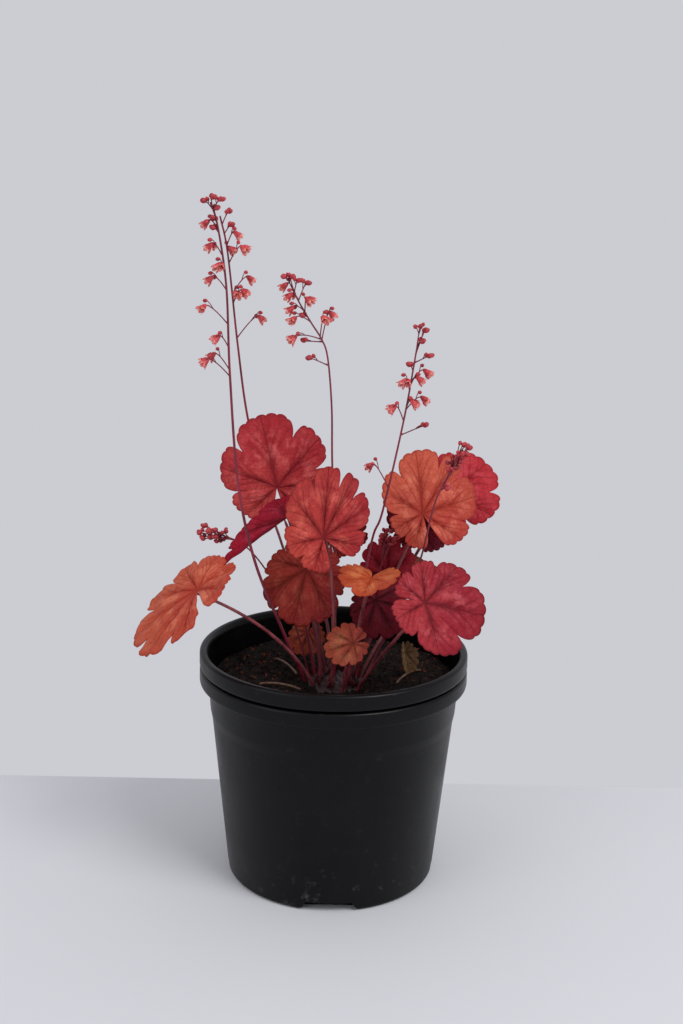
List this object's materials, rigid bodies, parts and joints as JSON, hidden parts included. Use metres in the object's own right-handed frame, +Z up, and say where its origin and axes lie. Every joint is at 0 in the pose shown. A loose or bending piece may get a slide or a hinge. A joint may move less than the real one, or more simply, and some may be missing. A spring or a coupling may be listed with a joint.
{
  "type": "potted heuchera plant",
  "caption": "Coral-leaved heuchera in flower, with lobed toothed leaves and thin stalks of small bells, growing in nested black nursery pots filled with potting mix.",
  "frame": {"origin": "on the pots' axis, on the surface that the outer pot stands on", "axes": "+Z up, -Y towards the side that faces the viewer in the picture, +X to the viewer's right"},
  "size_m": [0.2263, 0.17, 0.4297],
  "materials": {
    "pot": "satin black moulded plastic",
    "soil": "dark moist potting mix",
    "wood": "rough woody rootstock",
    "coral": "coral living leaf with a soft sheen",
    "orange": "orange living leaf with a soft sheen",
    "crimson": "crimson living leaf with a soft sheen",
    "rose": "rose living leaf with a soft sheen",
    "plum": "plum living leaf with a soft sheen",
    "russet": "russet living leaf with a soft sheen",
    "stalk": "thin maroon stalk with coral bells",
    "litter": "dry dead leaf and stem"
  },
  "bodies": {
    "root": {"outer_pot": "pot", "inner_pot": "pot", "potting_mix": "soil", "crown": "wood", "leaf_01": "coral", "leaf_02": "coral", "leaf_03": "crimson", "leaf_04": "russet", "leaf_05": "orange", "leaf_06": "orange", "leaf_07": "crimson", "leaf_08": "plum", "leaf_09": "rose", "leaf_10": "orange", "leaf_11": "plum", "leaf_12": "russet", "leaf_13": "crimson", "leaf_14": "russet", "leaf_15": "coral", "leaf_16": "crimson", "leaf_17": "orange", "flower_stalk_01": "stalk", "flower_stalk_02": "stalk", "flower_stalk_03": "stalk", "flower_stalk_04": "stalk", "flower_stalk_05": "stalk", "flower_stalk_06": "stalk", "flower_stalk_07": "stalk", "dead_stem_01": "litter", "dead_stem_02": "litter", "dead_stem_03": "litter", "dry_leaf": "litter"}
  },
  "joints": []
}
